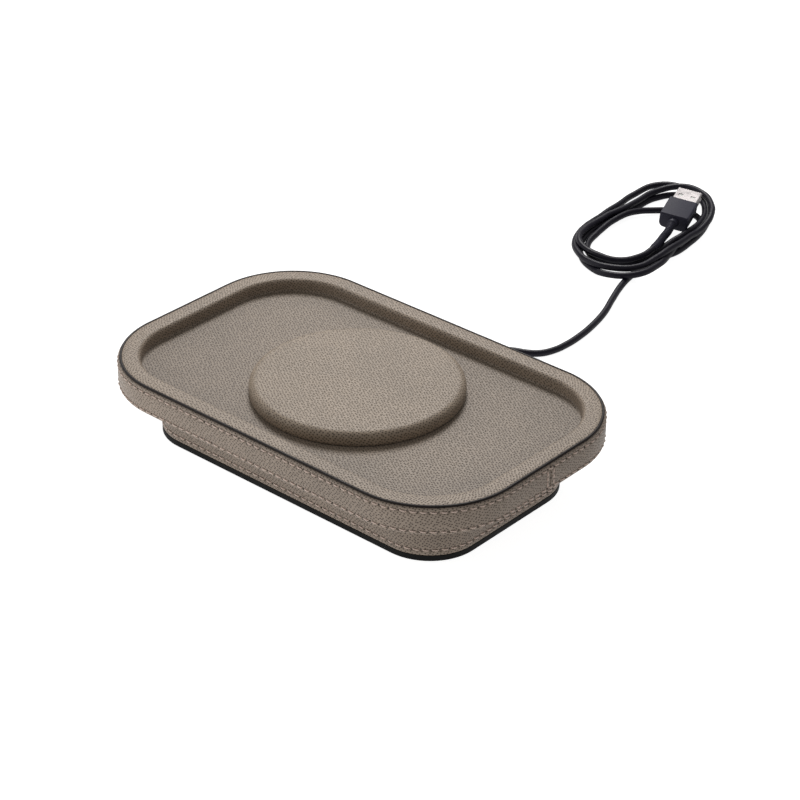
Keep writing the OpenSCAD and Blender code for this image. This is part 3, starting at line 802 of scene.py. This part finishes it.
def ring_places(ring, pitch, count, z, push=0.0, skip=None):
    """Places for stitch_row along a ring, but none where skip(distance) is true."""
    places = []
    for k in range(count):
        s = (k + 0.5) * pitch
        if skip is not None and skip(s):
            continue
        base, out = ring.at(np.array([s]))
        out = Vector((*out[0], 0))
        centre = Vector((*base[0], z)) + out * (ring.r + push)
        places.append((centre, Vector((-out.y, out.x, 0)), out))
    return places


for name, node, z, seed in (
    ("stitches_upper", "upper_thread", ROW_TOP, 11),
    ("stitches_lower", "lower_thread", ROW_LOW, 12),
):
    stitch_row(name, node, ring_places(tray, PITCH, TRAY_STITCHES, z, BAND_OUT), seed)
stitch_row(
    "stitches_plinth", "plinth_thread",
    ring_places(
        plinth, PLINTH_PITCH, PLINTH_STITCHES, ROW_PLINTH,
        skip=lambda s: abs(s - GLAND_S) < GLAND_CLEAR,
    ),
    seed=13,
)
SEAM_X = TRAY[0] / 2 + BAND_OUT + 0.05
stitch_row(
    "stitches_seam", "seam_thread",
    [
        (Vector((SEAM_X, SEAM_AT + y, z)), Vector((0, 0, 1)), Vector((1, 0, 0)))
        for y in (-SEAM_ROW, SEAM_ROW)
        for z in SEAM_STITCH_Z
    ],
    seed=14, length=2.2, radius=0.33, depth=0.3,
)


# ---- Puck ----


def make_puck():
    """The puck's cover: a foot drawn in a little, a rounded edge and a barely crowned top."""
    foot = [(-1.6, 0.02), (-0.7, 0.03), (-0.34, 0.22), (-0.16, 0.6), (-0.02, 1.5), (0, 2.6)]
    profile = [(PUCK_R + x, FLOOR_Z + z) for x, z in foot] + [(PUCK_R, PUCK_Z - 3.2)]
    profile += arc(PUCK_R - 3.1, PUCK_Z - 3.15, 3.1, 0, 87, 12)
    edge = len(profile) - 1
    profile += [(PUCK_R - 6, PUCK_Z), (PUCK_R - 12, PUCK_Z + 0.03)]
    profile += [(25, PUCK_Z + 0.05), (12, PUCK_Z + 0.06), (0.5, PUCK_Z + 0.06)]

    # Painted highlight on the rounded edge, and painted contact shadow at the foot where the puck
    # meets the floor.
    def painted_shading(r, z):
        from_edge = np.hypot(r - PUCK_R + 1.2, z - PUCK_Z + 1.2)
        return PUCK_EDGE_HIGHLIGHT * near(from_edge, 0, 1.2) + PUCK_FOOT_SHADE * near(z, FLOOR_Z, 0.5)

    made = lathe(
        "puck_leather_cover", profile, 160, PUCK_LEATHER, painted_shading, flat_from=edge, cap_last=True,
    )
    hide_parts("puck_cover")


make_puck()


# ---- CAD nodes that stay, with their looks ----


def dress(mat, *names):
    for name in names:
        slots = NODES[name].data.materials
        for k in range(len(slots)):
            slots[k] = mat


dress(
    moulded("mdf_board", (176, 150, 112), 0.85, grain=0.5, depth=0.05),
    "tray_frame", "plinth_block",
)
dress(
    moulded("underside_felt", (52, 47, 42), 0.95, grain=0.5, depth=0.12, Sheen_Weight=0.3),
    "underside_lining",
)
BLACK = moulded("black_abs", (14, 14, 14), 0.6, grain=0.4, depth=0.02, Specular_IOR_Level=0.12)
dress(BLACK, "base_plate", "charger_tub", "charger_lid", "lead_clamp")
dress(moulded("foot_rubber", (17, 17, 17), 0.85, grain=0.4, depth=0.04), "foot_pads")
dress(
    moulded("screw_steel", (196, 194, 190), 0.3, 1.0, grain=0.3, depth=0.004),
    "base_screws", "frame_screws", "module_screws", "clamp_screws",
)
dress(moulded("foam", (70, 70, 70), 0.95, grain=0.5, depth=0.15), "puck_pad")
dress(moulded("carrier_plastic", (228, 222, 208), 0.5), "coil_carrier")
dress(moulded("ferrite", (58, 60, 63), 0.55, grain=0.3, depth=0.03), "ferrite_disc")
dress(
    moulded("copper", (198, 118, 70), 0.3, 1.0, grain=0.2, depth=0.01),
    "transmit_coil", "coil_leads",
)
dress(moulded("thermistor_resin", (40, 56, 92), 0.25), "coil_thermistor")
dress(
    moulded("board_laminate", (26, 98, 56), 0.3, grain=0.6, depth=0.02, Coat_Weight=0.3),
    "circuit_board",
)
dress(
    moulded("chip_resin", (34, 34, 34), 0.55),
    "controller_chip", "driver_transistors", "power_inductor",
)
dress(moulded("capacitor_film", (206, 184, 120), 0.45), "resonance_capacitors")
dress(moulded("connector_nylon", (238, 232, 214), 0.45), "board_connector")
dress(CORD, "inner_lead")
dress(
    moulded("plug_steel", (192, 187, 187), 0.38, 1.0, grain=0.8, depth=0.0008, spread=0.03),
    "plug_shell",
)
dress(moulded("plug_insert", (232, 232, 228), 0.4), "plug_tongue")
dress(
    moulded("contact_gold", (232, 190, 110), 0.25, 1.0, grain=0.3, depth=0.004),
    "plug_contacts",
)


# ---- Floor and light ----


FLOOR_SIZE = 6.0  # metres from the middle to each side
FLOOR_DROP = -5e-5  # keeps the floor just under the feet
FLOOR_WHITE = 0.92  # what the camera sees
WORLD_LIGHT = 0.3


def make_stage():
    """The pale floor, which glows. It is plain white to the camera, but the light it gives out onto
    the object is weaker to the right of the object and behind it than in front and to the left."""
    look = Look("floor_paper", Roughness=0.9, Specular_IOR_Level=0.1)
    at = look.place()
    speckle = look.ramp(look.noise(at, 900.0, 2.0), 0.2, 0.8, 0.99, 1.0)
    look.set("Base Color", look.scaled((0.5, 0.5, 0.5), speckle))
    look.set("Emission Color", (1, 1, 1))
    seen = look.node("LightPath", "Is Camera Ray")
    to_right = look.ramp(look.node("SeparateXYZ", "X", None, Vector=at), 0.05, 0.19, 0.85, 0.2)
    to_back = look.ramp(look.node("SeparateXYZ", "Y", None, Vector=at), 0.06, 0.18, 1.0, 0.4)
    glow_onto_object = look.calc("MULTIPLY", to_right, to_back)
    glow_onto_object = look.calc("MULTIPLY", glow_onto_object, look.calc("SUBTRACT", 1.0, seen))
    white = look.calc("MULTIPLY", seen, FLOOR_WHITE)
    look.set("Emission Strength", look.calc("ADD", glow_onto_object, white))
    square = ((-1, -1), (1, -1), (1, 1), (-1, 1))
    corners = [(x * FLOOR_SIZE, y * FLOOR_SIZE, FLOOR_DROP) for x, y in square]
    mesh = bpy.data.meshes.new("floor")
    mesh.from_pydata(corners, [], [(0, 1, 2, 3)])
    mesh.materials.append(look.mat)
    floor = bpy.data.objects.new("floor", mesh)
    bpy.context.scene.collection.objects.link(floor)


def softbox(name, place, size, power, colour=(1, 1, 1)):
    """A rectangular lamp that faces the object."""
    aim = Vector((0, 0.03, 0.02))
    data = bpy.data.lights.new(name, "AREA")
    data.shape, data.size, data.size_y = "RECTANGLE", size[0], size[1]
    data.energy, data.color = power, colour
    light = bpy.data.objects.new(name, data)
    light.location = place
    light.rotation_euler = (aim - Vector(place)).to_track_quat("-Z", "Y").to_euler()
    bpy.context.scene.collection.objects.link(light)


make_stage()
softbox("key", (-0.7, 0.8, 1.1), (0.6, 0.6), 17.0, (1.0, 0.985, 0.97))
softbox("fill", (-1.0, -0.7, 0.5), (0.8, 0.6), 3.0)
world = bpy.data.worlds.new("studio")
world.use_nodes = True
backdrop = world.node_tree.nodes["Background"]
backdrop.inputs["Color"].default_value = (1, 1, 1, 1)
backdrop.inputs["Strength"].default_value = WORLD_LIGHT
bpy.context.scene.world = world
bpy.context.scene.view_settings.view_transform = "Standard"
